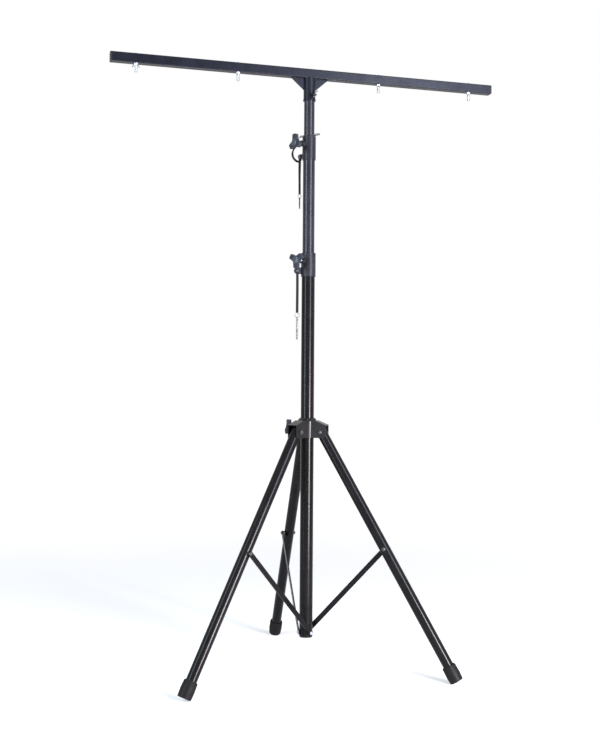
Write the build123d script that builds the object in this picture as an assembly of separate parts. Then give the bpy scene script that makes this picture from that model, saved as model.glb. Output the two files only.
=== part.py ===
from build123d import *
import math
import os

os.makedirs("parts", exist_ok=True)

# Push-up telescopic T-bar lighting stand, millimetres, +Z up.
# The origin is on the mast's axis at floor level, and +X runs along the T-bar.

# ---- driving dimensions ----
TOTAL_HEIGHT = 1825.0        # floor to the top of the T-bar
FOLD_SLOP = 0.3              # free air at the pivot where the brace linkage is opened
RUNNING_FIT = 0.1            # radial clearance of sliding and turning fits
SHELL_GAP = 0.4              # free air between pieces that pass each other

BAR_LENGTH = 1200.0
BAR_SIDE = 27.0
BAR_WALL = 1.5
BAR_CORNER = 2.5
BAR_CAP_LIP = 3.0
BAR_CAP_DEPTH = 18.0
BAR_CAP_WALL = 2.0
BAR_CAP_EDGE = 1.2           # rounding round the cap's outer face

SLEEVE_LENGTH = 68.0
SLEEVE_WALL = 2.0
SLEEVE_RIM = 1.2
SLEEVE_RIM_HEIGHT = 4.0
GUSSET_REACH = 41.0
GUSSET_DROP = 35.0
GUSSET_THICKNESS = 3.0
THUMB_BOSS_RADIUS = 7.0
THUMB_BOSS_LENGTH = 5.0
THUMB_SCREW_RADIUS = 3.0
THUMB_AZIMUTH = -72.5
THUMB_BELOW_BAR = 54.0
THUMB_STANDOFF = 2.0
THUMB_BODY_RADIUS = 5.0
THUMB_BODY_LENGTH = 8.0
THUMB_WING_REACH = 13.0
THUMB_WING_RISE = 12.0
THUMB_WING_THICKNESS = 5.0
THUMB_TURN = 55.0

HANGER_FROM_END = 75.0       # outer lamp bolts, from the ends of the bar
HANGER_INNER = 222.0         # inner lamp bolts, from the middle of the bar
HANGER_RADIUS = 4.0
HANGER_HEAD_RIM = 2.5        # the head's overhang round the bolt
HANGER_HEAD_HEIGHT = 4.5
HANGER_BELOW_BAR = 25.0
HANGER_POINT = 0.8
BOLT_CLEARANCE = 0.2
THREAD_FIT = 0.05
WING_BODY_WALL = 1.5
WING_BODY_FLARE = 1.5
WING_BODY_HEIGHT = 5.0
WING_SPAN = 24.0
WING_DROP = 12.0
WING_ARM_DEPTH = 3.6
WING_THICKNESS = 2.2
WING_NUT_TURNS = (0.0, 62.0, 75.0, 68.0)

UPPER_RADIUS = 16.0
TUBE_STEP = 2.0              # each tube's radius over the one inside it
TUBE_WALL = 1.2
UPPER_BELOW_BAR = 4.0        # the upper tube's end under the bar
TUBE_CAP_PLATE = 2.5
TUBE_CAP_DEPTH = 14.0
TUBE_CAP_WALL = 2.0
UPPER_LENGTH = 1150.0
MID_LENGTH = 1150.0
MAIN_BOTTOM = 107.0
GUIDE_HEIGHT = 100.0         # lower guide ring above the end of its tube
GUIDE_LENGTH = 40.0
LOCK_HOLE_RADIUS = 3.3
LOCK_HOLE_PITCH = 150.0

MID_COLLAR_BELOW_TOP = 203.0
MID_COLLAR_HEIGHT = 72.0
MID_COLLAR_WALL = 2.5
MAIN_COLLAR_BELOW_TOP = 558.0
MAIN_COLLAR_HEIGHT = 72.0
MAIN_COLLAR_WALL = 2.3
COLLAR_EDGE = 1.0
COLLAR_TUBE_DEPTH = 36.0     # how far a tube reaches into the collar on its end
COLLAR_LIP = 3.0
COLLAR_LIP_FIT = 0.5
CLAMP_BELOW_TOP = 25.0
CLAMP_BOSS_RADIUS = 9.0
CLAMP_BOSS_LENGTH = 11.0
CLAMP_STUD_RADIUS = 4.0
PAD_THICKNESS = 1.6
MID_CLAMP_AZIMUTH = 202.5
MAIN_CLAMP_AZIMUTH = 213.5

KNOB_REACH = 25.0
KNOB_CORE_RADIUS = 12.0
KNOB_ARM_WIDTH = 18.6        # where an arm leaves the middle
KNOB_TIP_WIDTH = 15.0
KNOB_TIP_ROUND = 2.5
KNOB_CROWN = 4.0             # plastic left over the stud's end
KNOB_THICKNESS = 11.0
KNOB_DISC_RADIUS = 12.0
KNOB_DISC_HEIGHT = 3.0
KNOB_NECK_RADIUS = 8.0
KNOB_NECK_HEIGHT = 7.0
KNOB_STANDOFF = 9.0          # bare stud between a boss and its knob

EAR_BOLT_RADIUS = 3.0
EAR_HEAD_RADIUS = 6.0
EAR_HEAD_HEIGHT = 3.6
EAR_RIVET_RIM = 2.0
EAR_RIVET_HEIGHT = 2.0
MID_EAR_AZIMUTH = 139.5
MID_EAR_BOLT_OUT = 9.0       # the ear's bolt, from the collar's surface
MID_EAR_END_RADIUS = 7.5
MID_EAR_THICKNESS = 4.0
MID_EAR_ABOVE_FOOT = 13.0
MAIN_EAR_AZIMUTH = 176.5
MAIN_EAR_BOLT_OUT = 12.2
MAIN_EAR_END_RADIUS = 10.0
MAIN_EAR_THICKNESS = 5.0
MAIN_EAR_ABOVE_FOOT = 18.0

PIN_RADIUS = 3.0
PIN_LENGTH = 66.0
PIN_EYE_OUT = 8.5            # eye end of the pin in the mast, from the mid collar's surface
PIN_AZIMUTH = 134.5          # the direction in which that pin is pulled out
PIN_ABOVE_COLLAR = 0.2
PIN_GROOVE = 0.5
PIN_GROOVE_WIDTH = 1.4
PIN_GROOVE_PLACES = (0.22, 0.75)
PIN_POINT = 0.6              # rounding of the point, as a share of the pin's radius
PIN_RING_RADIUS = 7.0
RING_WIRE_RADIUS = 0.8
PIN_EYE_RADIUS = 1.3
SMALL_PIN_RADIUS = 2.2
SMALL_PIN_LENGTH = 32.0
SMALL_RING_RADIUS = 5.4
STRAP_WIDTH = 8.0
STRAP_THICKNESS = 1.6
TETHER_DIAMETER = 3.0
MID_STRAP_LENGTH = 112.0
MAIN_STRAP_LENGTH = 124.0
MAIN_LOCK_HOLE_BELOW = 142.0 # under the main tube's top

HUB_TOP = 767.0
HUB_COLLAR_HEIGHT = 10.0
HUB_COLLAR_WALL = 2.9
HUB_COLLAR_FLARE = 8.0
HUB_SLEEVE_WALL = 3.3
HUB_SHELL_HEIGHT = 50.0
HUB_SHELL_THICKNESS = 2.5
HUB_BEYOND_PIVOT = 17.0
HUB_COVER_DROP = 13.0
HUB_COVER_THICKNESS = 2.2
HUB_CLAMP_BELOW_TOP = 31.0

LEG_RADIUS = 16.0
LEG_WALL = 1.5
LEG_SPREAD = 30.0            # degrees from the mast, standing
LEG_PIVOT_OUT = 5.6          # free room between the hub's sleeve and a folded leg
LEG_PIVOT_BELOW_TOP = 42.3
LEG_ABOVE_PIVOT = 10.0
LEG_PIVOT_RADIUS = 4.0
LEG_PIVOT_HEAD_RIM = 2.5
LEG_PIVOT_HEAD_HEIGHT = 4.0
LEG_PIVOT_NUT_RIM = 3.0
LEG_PIVOT_NUT_HEIGHT = 4.2
LEG_SIDE_ROOM = 1.0          # between a leg and the cheeks beside it
LEG_STEP = 120.0
LEG_AZIMUTHS = {"left": 207.6, "right": 207.6 + LEG_STEP, "rear": 207.6 - LEG_STEP}
LEG_BRACE_POINT = 394.0      # along the leg, pivot to brace bolt
FOOT_RADIUS = 20.0
FOOT_BULGE_RADIUS = 21.5
FOOT_LENGTH = 49.0
FOOT_SOLE = 8.0
FOOT_MOUTH = 2.0             # height of the chamfer round the foot's mouth
FOOT_BULGE_PLACE = 0.45      # of the foot's length, from its sole

BRACE_BASE_Z = 118.0
BRACE_STANDOFF = 1.0         # between the main tube and a brace
BRACE_WIDTH = 15.0
BRACE_THICKNESS = 3.0
BRACE_BOLT_RADIUS = 3.0
BRACE_HEAD_RADIUS = 6.0
BRACE_HEAD_HEIGHT = 4.5
BRACE_HEAD_SEAT = 0.6        # between a leg and its bolt's head
BRACE_END_BITE = 2.0         # how far the bolt's collars run back round the leg
BRACE_BOLT_DEPTH = 12.0
BASE_PLUG_HEIGHT = 30.0
BASE_PLUG_LIP = 3.0

# ---- worked out from them ----
BAR_BOTTOM = TOTAL_HEIGHT - BAR_SIDE
MID_RADIUS = UPPER_RADIUS + TUBE_STEP
MAIN_RADIUS = MID_RADIUS + TUBE_STEP
SLEEVE_BORE = UPPER_RADIUS + RUNNING_FIT
SLEEVE_RADIUS = SLEEVE_BORE + SLEEVE_WALL
SLEEVE_BOTTOM = BAR_BOTTOM - SLEEVE_LENGTH
UPPER_TOP = BAR_BOTTOM - UPPER_BELOW_BAR
UPPER_BOTTOM = UPPER_TOP - UPPER_LENGTH
MID_COLLAR_TOP = TOTAL_HEIGHT - MID_COLLAR_BELOW_TOP
MID_COLLAR_BOTTOM = MID_COLLAR_TOP - MID_COLLAR_HEIGHT
MID_COLLAR_RADIUS = MID_RADIUS + MID_COLLAR_WALL
MID_EAR_BOLT_REACH = MID_COLLAR_RADIUS + MID_EAR_BOLT_OUT
MID_EAR_Z = MID_COLLAR_BOTTOM + MID_EAR_ABOVE_FOOT
MID_TOP = MID_COLLAR_BOTTOM + COLLAR_TUBE_DEPTH
MID_BOTTOM = MID_TOP - MID_LENGTH
MAIN_COLLAR_TOP = TOTAL_HEIGHT - MAIN_COLLAR_BELOW_TOP
MAIN_COLLAR_BOTTOM = MAIN_COLLAR_TOP - MAIN_COLLAR_HEIGHT
MAIN_COLLAR_RADIUS = MAIN_RADIUS + MAIN_COLLAR_WALL
MAIN_EAR_BOLT_REACH = MAIN_COLLAR_RADIUS + MAIN_EAR_BOLT_OUT
MAIN_EAR_Z = MAIN_COLLAR_BOTTOM + MAIN_EAR_ABOVE_FOOT
MAIN_TOP = MAIN_COLLAR_BOTTOM + COLLAR_TUBE_DEPTH
MAIN_LOCK_HOLE_Z = MAIN_TOP - MAIN_LOCK_HOLE_BELOW
PIN_Z = MID_COLLAR_TOP + PIN_RADIUS + PIN_ABOVE_COLLAR
PIN_INNER_END = MID_COLLAR_RADIUS + PIN_EYE_OUT
HUB_SHELL_TOP = HUB_TOP - HUB_COLLAR_HEIGHT
HUB_BOTTOM = HUB_SHELL_TOP - HUB_SHELL_HEIGHT
HUB_SLEEVE_RADIUS = MAIN_RADIUS + RUNNING_FIT + HUB_SLEEVE_WALL
HUB_COLLAR_TOP_RADIUS = MAIN_RADIUS + RUNNING_FIT + HUB_COLLAR_WALL
HUB_COLLAR_FLARE_RADIUS = HUB_COLLAR_TOP_RADIUS + HUB_COLLAR_FLARE
HUB_CLAMP_Z = HUB_TOP - HUB_CLAMP_BELOW_TOP
HUB_CLAMP_AZIMUTH = LEG_AZIMUTHS["rear"] + LEG_STEP / 2
HUB_CHANNEL = LEG_RADIUS + LEG_SIDE_ROOM   # half the free width between the cheeks beside a leg
LEG_PIVOT_REACH = HUB_SLEEVE_RADIUS + LEG_RADIUS + LEG_PIVOT_OUT
LEG_PIVOT_Z = HUB_TOP - LEG_PIVOT_BELOW_TOP
HUB_REACH = LEG_PIVOT_REACH + HUB_BEYOND_PIVOT
BRACE_OFFSET = MAIN_RADIUS + BRACE_STANDOFF + BRACE_THICKNESS / 2
LEG_LENGTH = (LEG_PIVOT_Z - FOOT_RADIUS * math.sin(math.radians(LEG_SPREAD))) / math.cos(
    math.radians(LEG_SPREAD)
)


def radial(azimuth, z=0.0, reach=0.0):
    """A plane on the mast: its Z points outwards, its X runs round the mast and its Y is up."""
    a = math.radians(azimuth)
    return Plane(
        origin=(reach * math.cos(a), reach * math.sin(a), z),
        x_dir=(-math.sin(a), math.cos(a), 0),
        z_dir=(math.cos(a), math.sin(a), 0),
    )


def around(azimuth, z=0.0, reach=0.0):
    """A plane beside the mast: its X points outwards, its Y is up and its Z runs clockwise."""
    a = math.radians(azimuth)
    return Plane(
        origin=(reach * math.cos(a), reach * math.sin(a), z),
        x_dir=(math.cos(a), math.sin(a), 0),
        z_dir=(math.sin(a), -math.cos(a), 0),
    )


def rod(radius, low, high):
    """A cylinder along Z between two heights."""
    return Pos(0, 0, low) * Cylinder(radius, high - low, align=(Align.CENTER, Align.CENTER, Align.MIN))


def pipe(outer, inner, low, high):
    return rod(outer, low, high) - rod(inner, low - 1, high + 1)


def dome(radius, height, low=0.0):
    """A rounded bolt head that stands on the plane z = low."""
    ball = (radius**2 + height**2) / (2 * height)
    return rod(radius, low, low + height) & (Pos(0, 0, low + height - ball) * Sphere(ball))


def save(name, *solids):
    shape = solids[0] if len(solids) == 1 else Compound(children=list(solids))
    export_step(shape, f"parts/{name}.step")


def lock_holes(outer_radius, azimuth, heights):
    holes = Part()
    for z in heights:
        holes += radial(azimuth, z) * rod(LOCK_HOLE_RADIUS, -outer_radius - 2, outer_radius + 2)
    return holes


# ---- T-bar ----
def hanger_places():
    outer = BAR_LENGTH / 2 - HANGER_FROM_END
    return (-outer, -HANGER_INNER, HANGER_INNER, outer)


def build_t_bar():
    outline = RectangleRounded(BAR_SIDE, BAR_SIDE, BAR_CORNER)
    inner = RectangleRounded(BAR_SIDE - 2 * BAR_WALL, BAR_SIDE - 2 * BAR_WALL, BAR_CORNER - BAR_WALL)
    middle = TOTAL_HEIGHT - BAR_SIDE / 2
    along = Plane(origin=(-BAR_LENGTH / 2, 0, middle), x_dir=(0, 1, 0), z_dir=(1, 0, 0))
    tube_length = BAR_LENGTH - 2 * BAR_CAP_LIP
    bar = along * Pos(0, 0, BAR_CAP_LIP) * extrude(outline - inner, tube_length)
    for x in hanger_places():
        bar -= Pos(x, 0, 0) * rod(HANGER_RADIUS + BOLT_CLEARANCE, BAR_BOTTOM - 1, TOTAL_HEIGHT + 1)
    save("t_bar_tube", bar)

    plug_side = BAR_SIDE - 2 * BAR_WALL
    plug = extrude(RectangleRounded(plug_side, plug_side, BAR_CORNER - BAR_WALL), BAR_CAP_DEPTH)
    hollow = plug_side - 2 * BAR_CAP_WALL
    plug -= Pos(0, 0, BAR_CAP_WALL) * extrude(Rectangle(hollow, hollow), BAR_CAP_DEPTH)
    cap = extrude(outline, BAR_CAP_LIP)
    cap = fillet(cap.faces().sort_by(Axis.Z)[0].edges(), BAR_CAP_EDGE)
    cap += Pos(0, 0, BAR_CAP_LIP) * plug
    save("t_bar_end_caps", along * cap, Rot(0, 0, 180) * (along * cap))

    sleeve = pipe(SLEEVE_RADIUS, SLEEVE_BORE, SLEEVE_BOTTOM, BAR_BOTTOM)
    rim_top = SLEEVE_BOTTOM + SLEEVE_RIM_HEIGHT
    sleeve += pipe(SLEEVE_RADIUS + SLEEVE_RIM, SLEEVE_BORE, SLEEVE_BOTTOM, rim_top)
    thumb = radial(THUMB_AZIMUTH, BAR_BOTTOM - THUMB_BELOW_BAR)
    boss_end = SLEEVE_RADIUS + THUMB_BOSS_LENGTH
    sleeve += thumb * rod(THUMB_BOSS_RADIUS, SLEEVE_BORE + 0.5, boss_end) - rod(
        SLEEVE_BORE, SLEEVE_BOTTOM, BAR_BOTTOM
    )
    sleeve -= thumb * rod(THUMB_SCREW_RADIUS + RUNNING_FIT, 0, boss_end + 1)
    save("t_bar_sleeve", sleeve)

    screw_head = boss_end + THUMB_STANDOFF
    screw = rod(THUMB_SCREW_RADIUS, UPPER_RADIUS + RUNNING_FIT, screw_head + THUMB_BODY_LENGTH)
    body = rod(THUMB_BODY_RADIUS, screw_head, screw_head + THUMB_BODY_LENGTH)
    wing = Polyline(
        (0, 0),
        (THUMB_WING_REACH - 1, THUMB_WING_RISE / 3),
        (THUMB_WING_REACH, THUMB_WING_RISE * 3 / 4),
        (THUMB_WING_REACH - 4, THUMB_WING_RISE),
        (0, THUMB_BODY_LENGTH - 1),
        close=True,
    )
    wings = extrude(Plane.XZ * make_face(wing), THUMB_WING_THICKNESS / 2, both=True)
    wings = Pos(0, 0, screw_head) * (wings + Rot(0, 0, 180) * wings)
    save("thumb_screw", thumb * Rot(0, 0, THUMB_TURN) * (screw + body + wings))

    gussets = []
    for side in (0, 180):
        plate = make_face(
            Polyline(
                (0, BAR_BOTTOM),
                (SLEEVE_RADIUS + GUSSET_REACH, BAR_BOTTOM),
                (SLEEVE_RADIUS + 1, BAR_BOTTOM - GUSSET_DROP),
                (0, BAR_BOTTOM - GUSSET_DROP),
                close=True,
            )
        )
        plate = extrude(Plane.XZ * plate, GUSSET_THICKNESS / 2, both=True)
        plate -= rod(SLEEVE_RADIUS, SLEEVE_BOTTOM - 1, BAR_BOTTOM + 1)
        gussets.append(Rot(0, 0, side) * plate)
    save("t_bar_gussets", *gussets)


def build_hangers():
    bolts = []
    body_radius = HANGER_RADIUS + WING_BODY_WALL
    for number, (x, turn) in enumerate(zip(hanger_places(), WING_NUT_TURNS), 1):
        bolt = rod(HANGER_RADIUS, BAR_BOTTOM - HANGER_BELOW_BAR, TOTAL_HEIGHT)
        bolt = chamfer(bolt.faces().sort_by(Axis.Z)[0].edges(), HANGER_POINT)
        bolt += dome(HANGER_RADIUS + HANGER_HEAD_RIM, HANGER_HEAD_HEIGHT, TOTAL_HEIGHT)
        bolts.append(Pos(x, 0, 0) * bolt)
        nut = Pos(0, 0, -WING_BODY_HEIGHT / 2) * Cone(
            body_radius, body_radius + WING_BODY_FLARE, WING_BODY_HEIGHT
        )
        half = WING_SPAN / 2
        wing = Polyline(
            (0, -1.0),
            (body_radius, -0.8),
            (half - 1.5, WING_ARM_DEPTH - WING_DROP),
            (half, 1 - WING_DROP),
            (half - WING_ARM_DEPTH, -WING_DROP),
            (body_radius - 0.5, -WING_BODY_HEIGHT),
            (0, -WING_BODY_HEIGHT),
            close=True,
        )
        plate = extrude(Plane.XZ * make_face(wing), WING_THICKNESS / 2, both=True)
        nut += plate + Rot(0, 0, 180) * plate
        nut -= rod(HANGER_RADIUS + THREAD_FIT, -WING_DROP - 5, 5)
        save(f"wing_nut_{number}", Pos(x, 0, BAR_BOTTOM) * Rot(0, 0, turn) * nut)
    save("hanger_bolts", *bolts)


# ---- telescopic tubes ----
def build_upper_mast():
    tube = pipe(UPPER_RADIUS, UPPER_RADIUS - TUBE_WALL, UPPER_BOTTOM, UPPER_TOP)
    count = int((PIN_Z - UPPER_BOTTOM - GUIDE_HEIGHT - GUIDE_LENGTH) // LOCK_HOLE_PITCH)
    tube -= lock_holes(UPPER_RADIUS, PIN_AZIMUTH, [PIN_Z - LOCK_HOLE_PITCH * i for i in range(count)])
    save("upper_tube", tube)
    inner = UPPER_RADIUS - TUBE_WALL
    plug = rod(inner, UPPER_TOP - TUBE_CAP_DEPTH, UPPER_TOP)
    plug -= rod(inner - TUBE_CAP_WALL, UPPER_TOP - TUBE_CAP_DEPTH - 1, UPPER_TOP - TUBE_CAP_WALL)
    plug += rod(UPPER_RADIUS, UPPER_TOP, UPPER_TOP + TUBE_CAP_PLATE)
    save("upper_tube_cap", plug)
    guide_low = UPPER_BOTTOM + GUIDE_HEIGHT
    outer = MID_RADIUS - TUBE_WALL - RUNNING_FIT
    save("upper_guide_ring", pipe(outer, UPPER_RADIUS, guide_low, guide_low + GUIDE_LENGTH))


def ear_face(azimuth, z, reach, thickness):
    """The plane on an ear's face, its Z pointing away from the ear, on the strap's side."""
    return around(azimuth, z, reach) * Rot(0, 180, 0) * Pos(0, 0, thickness / 2)


def build_collar(name, top, height, radius, tube_radius, mast_radius, clamp_azimuth, ear):
    """A clamp collar on the end of a tube, with its bush, pad, stud and knob boss."""
    bottom = top - height
    step = bottom + COLLAR_TUBE_DEPTH
    collar = rod(radius, bottom, top)
    rims = collar.edges().group_by(Axis.Z)[0] + collar.edges().group_by(Axis.Z)[-1]
    collar = fillet(rims, COLLAR_EDGE)
    clamp_z = top - CLAMP_BELOW_TOP
    clamp = radial(clamp_azimuth, clamp_z)
    boss_end = radius + CLAMP_BOSS_LENGTH
    collar += clamp * rod(CLAMP_BOSS_RADIUS, 0, boss_end)
    azimuth, reach, end_radius, thickness, above_foot = ear
    side = around(azimuth, bottom + above_foot, 0)
    web = Pos(reach / 2, 0, 0) * Box(reach, 2 * end_radius, thickness)
    web += Pos(reach, 0, 0) * Cylinder(end_radius, thickness)
    web -= Pos(reach, 0, 0) * Cylinder(EAR_BOLT_RADIUS, thickness + 2)
    collar += side * web
    collar -= rod(tube_radius, bottom - 1, step)
    collar -= rod(tube_radius, step - 1, top - COLLAR_LIP)
    collar -= rod(mast_radius + COLLAR_LIP_FIT, bottom - 1, top + 1)
    collar -= clamp * rod(CLAMP_STUD_RADIUS, 0, boss_end + 1)
    save(f"{name}_collar", collar)

    bush = pipe(tube_radius, mast_radius + RUNNING_FIT, step, top - COLLAR_LIP)
    bush -= clamp * rod(CLAMP_STUD_RADIUS + SHELL_GAP, 0, boss_end)
    save(f"{name}_collar_bush", bush)
    build_clamp(name, clamp, mast_radius, boss_end)

    bolt_axis = side * Pos(reach, 0, 0)
    half = thickness / 2
    bolt = rod(EAR_BOLT_RADIUS, -half - STRAP_THICKNESS, half)
    head = Rot(180, 0, 0) * dome(EAR_HEAD_RADIUS, EAR_HEAD_HEIGHT, half + STRAP_THICKNESS)
    rivet = dome(EAR_BOLT_RADIUS + EAR_RIVET_RIM, EAR_RIVET_HEIGHT, half)
    save(f"{name}_strap_bolt", bolt_axis * (bolt + head + rivet))


def build_clamp(name, clamp, mast_radius, boss_end):
    """A clamp's pad against the mast, its stud and its knob."""
    pad_start = mast_radius + RUNNING_FIT
    pad_end = pad_start + PAD_THICKNESS
    save(f"{name}_clamp_pad", clamp * rod(CLAMP_STUD_RADIUS, pad_start, pad_end))
    knob_base = boss_end + KNOB_STANDOFF
    stud_end = knob_base + KNOB_NECK_HEIGHT + KNOB_THICKNESS - KNOB_CROWN
    save(f"{name}_clamp_stud", clamp * rod(CLAMP_STUD_RADIUS - THREAD_FIT, pad_end, stud_end))
    turn = {"mid": 90, "main": -90, "hub": 90}[name]
    save(f"{name}_clamp_knob", clamp * Pos(0, 0, knob_base) * Rot(0, 0, turn) * knob())


def knob():
    """A three-armed grip knob: its neck stands on z = 0, and one arm points along X."""
    outline = Circle(KNOB_CORE_RADIUS)
    for turn in (0, 120, 240):
        arm = Polyline(
            (0, -KNOB_ARM_WIDTH / 2),
            (0, KNOB_ARM_WIDTH / 2),
            (KNOB_REACH, KNOB_TIP_WIDTH / 2),
            (KNOB_REACH, -KNOB_TIP_WIDTH / 2),
            close=True,
        )
        outline += Rot(0, 0, turn) * make_face(arm)
    tips = outline.vertices().filter_by(lambda v: Vector(v).length > KNOB_REACH - 1)
    outline = fillet(tips, KNOB_TIP_ROUND)
    grip = Pos(0, 0, KNOB_NECK_HEIGHT) * extrude(outline, KNOB_THICKNESS)
    top = KNOB_NECK_HEIGHT + KNOB_THICKNESS
    grip += rod(KNOB_NECK_RADIUS, 0, KNOB_NECK_HEIGHT)
    grip += dome(KNOB_DISC_RADIUS, KNOB_DISC_HEIGHT, top)
    grip -= rod(CLAMP_STUD_RADIUS - THREAD_FIT, -1, top - KNOB_CROWN)
    return grip


def build_mid_mast():
    tube = pipe(MID_RADIUS, MID_RADIUS - TUBE_WALL, MID_BOTTOM, MID_TOP)
    first = MAIN_LOCK_HOLE_Z
    count = int((first - MID_BOTTOM - GUIDE_HEIGHT - GUIDE_LENGTH) // LOCK_HOLE_PITCH) + 1
    tube -= lock_holes(MID_RADIUS, PIN_AZIMUTH, [first - LOCK_HOLE_PITCH * i for i in range(count)])
    save("mid_tube", tube)
    guide_low = MID_BOTTOM + GUIDE_HEIGHT
    outer = MAIN_RADIUS - TUBE_WALL - RUNNING_FIT
    save("mid_guide_ring", pipe(outer, MID_RADIUS, guide_low, guide_low + GUIDE_LENGTH))
    build_collar(
        "mid",
        MID_COLLAR_TOP,
        MID_COLLAR_HEIGHT,
        MID_COLLAR_RADIUS,
        MID_RADIUS,
        UPPER_RADIUS,
        MID_CLAMP_AZIMUTH,
        (MID_EAR_AZIMUTH, MID_EAR_BOLT_REACH, MID_EAR_END_RADIUS, MID_EAR_THICKNESS, MID_EAR_ABOVE_FOOT),
    )


def build_main_mast():
    tube = pipe(MAIN_RADIUS, MAIN_RADIUS - TUBE_WALL, MAIN_BOTTOM, MAIN_TOP)
    tube -= lock_holes(MAIN_RADIUS, PIN_AZIMUTH, [MAIN_LOCK_HOLE_Z])
    plug = rod(MAIN_RADIUS - TUBE_WALL, MAIN_BOTTOM, MAIN_BOTTOM + BASE_PLUG_HEIGHT)
    plug += rod(MAIN_RADIUS, MAIN_BOTTOM - BASE_PLUG_LIP, MAIN_BOTTOM)
    bolts = []
    for azimuth in LEG_AZIMUTHS.values():
        place = radial(azimuth + 90, BRACE_BASE_Z)
        hole = place * rod(BRACE_BOLT_RADIUS, MAIN_RADIUS - BRACE_BOLT_DEPTH, MAIN_RADIUS + 1)
        tube -= hole
        plug -= hole
        seat = BRACE_OFFSET + BRACE_THICKNESS / 2 + RUNNING_FIT
        bolt = rod(BRACE_BOLT_RADIUS, MAIN_RADIUS - BRACE_BOLT_DEPTH, seat)
        bolt += dome(BRACE_HEAD_RADIUS, BRACE_HEAD_HEIGHT, seat)
        bolts.append(place * bolt)
    save("main_tube", tube)
    save("base_plug", plug)
    save("brace_base_bolts", *bolts)
    build_collar(
        "main",
        MAIN_COLLAR_TOP,
        MAIN_COLLAR_HEIGHT,
        MAIN_COLLAR_RADIUS,
        MAIN_RADIUS,
        MID_RADIUS,
        MAIN_CLAMP_AZIMUTH,
        (
            MAIN_EAR_AZIMUTH,
            MAIN_EAR_BOLT_REACH,
            MAIN_EAR_END_RADIUS,
            MAIN_EAR_THICKNESS,
            MAIN_EAR_ABOVE_FOOT,
        ),
    )


# ---- safety pins and their straps ----
def pin_body(radius, length):
    """A pin along Z: its eye is at z = 0 and its point at z = length."""
    pin = rod(radius, -2 * PIN_EYE_RADIUS, length)
    pin = fillet(pin.edges().group_by(Axis.Z)[-1], radius * PIN_POINT)
    for share in PIN_GROOVE_PLACES:
        z = share * length
        pin -= pipe(radius + 1, radius - PIN_GROOVE, z, z + PIN_GROOVE_WIDTH)
    pin -= Rot(90, 0, 0) * Cylinder(PIN_EYE_RADIUS, 4 * radius)
    return pin


def hanging_pin(name, ear_plane, radius, length, ring_radius, strap_length):
    """A spare pin that hangs on its ring from the end of a flat strap."""
    strap_end = -EAR_BOLT_RADIUS - SHELL_GAP - strap_length
    ring_centre = strap_end - SHELL_GAP - ring_radius - RING_WIRE_RADIUS
    place = ear_plane * Pos(0, 0, STRAP_THICKNESS / 2)
    ring = place * Pos(0, ring_centre, 0) * Torus(ring_radius, RING_WIRE_RADIUS)
    eye = ring_centre - ring_radius
    pin = place * Pos(0, eye, 0) * Rot(90, 0, 0) * Rot(0, 0, 90) * pin_body(radius, length)
    save(name, ring, pin)


def ear_planes():
    mid = ear_face(MID_EAR_AZIMUTH, MID_EAR_Z, MID_EAR_BOLT_REACH, MID_EAR_THICKNESS)
    main = ear_face(MAIN_EAR_AZIMUTH, MAIN_EAR_Z, MAIN_EAR_BOLT_REACH, MAIN_EAR_THICKNESS)
    return mid, main


# The pin tether's route, chosen by hand, from the pin's ring down to the mid collar's ear:
# outwards, round the mast and up, from the ear's bolt.
TETHER_POINTS = (
    (-0.1, -2.8, 45.9),
    (9.9, -4.5, 38.0),
    (21.4, -1.9, 28.0),
    (27.0, 0.9, 14.0),
    (24.4, 0.0, -0.5),
    (15.7, -2.8, -11.0),
    (5.9, -5.3, -14.5),
    (0.6, -6.3, -7.0),
    (0.0, -6.2, 3.0),
)


def tether_path():
    """The route as straight runs joined by arcs, each as large as its two runs allow."""
    ear = radial(MID_EAR_AZIMUTH, MID_EAR_Z, MID_EAR_BOLT_REACH)
    corners = [ear.from_local_coords(Vector(side, up, out)) for out, side, up in TETHER_POINTS]
    radii = []
    for before, at, after in zip(corners, corners[1:], corners[2:]):
        turn = math.radians((at - before).get_angle(after - at))
        shorter = min((at - before).length, (after - at).length)
        radii.append(0.45 * shorter / math.tan(turn / 2))
    print("tether corners", [tuple(round(v, 1) for v in corner) for corner in corners])
    print("tether radii", [round(r, 1) for r in radii])
    return FilletPolyline(*corners, radius=radii)


def build_pins():
    mid_ear, main_ear = ear_planes()
    for name, plane, length in (("mid", mid_ear, MID_STRAP_LENGTH), ("main", main_ear, MAIN_STRAP_LENGTH)):
        strap = Box(STRAP_WIDTH, length, STRAP_THICKNESS, align=(Align.CENTER, Align.MAX, Align.MIN))
        save(f"{name}_strap", plane * Pos(0, -EAR_BOLT_RADIUS - SHELL_GAP, 0) * strap)
    hanging_pin(
        "mid_spare_pin", mid_ear, SMALL_PIN_RADIUS, SMALL_PIN_LENGTH, SMALL_RING_RADIUS, MID_STRAP_LENGTH
    )
    hanging_pin("main_spare_pin", main_ear, PIN_RADIUS, PIN_LENGTH, PIN_RING_RADIUS, MAIN_STRAP_LENGTH)

    across = around(PIN_AZIMUTH, PIN_Z)
    eye = across * Pos(PIN_INNER_END, 0, 0)
    pin = eye * Rot(0, -90, 0) * Rot(0, 0, 90) * pin_body(PIN_RADIUS, PIN_LENGTH)
    ring = across * Pos(PIN_INNER_END, -PIN_RING_RADIUS, 0) * Torus(PIN_RING_RADIUS, RING_WIRE_RADIUS)
    save("safety_pin", pin, ring)
    path = tether_path()
    tether = sweep(Plane(origin=path @ 0, z_dir=path % 0) * Circle(TETHER_DIAMETER / 2), path)
    expected = path.length * math.pi * TETHER_DIAMETER**2 / 4
    print("tether length", round(path.length, 1), "volume share", round(tether.volume / expected, 4))
    save("safety_pin_strap", tether)


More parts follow.
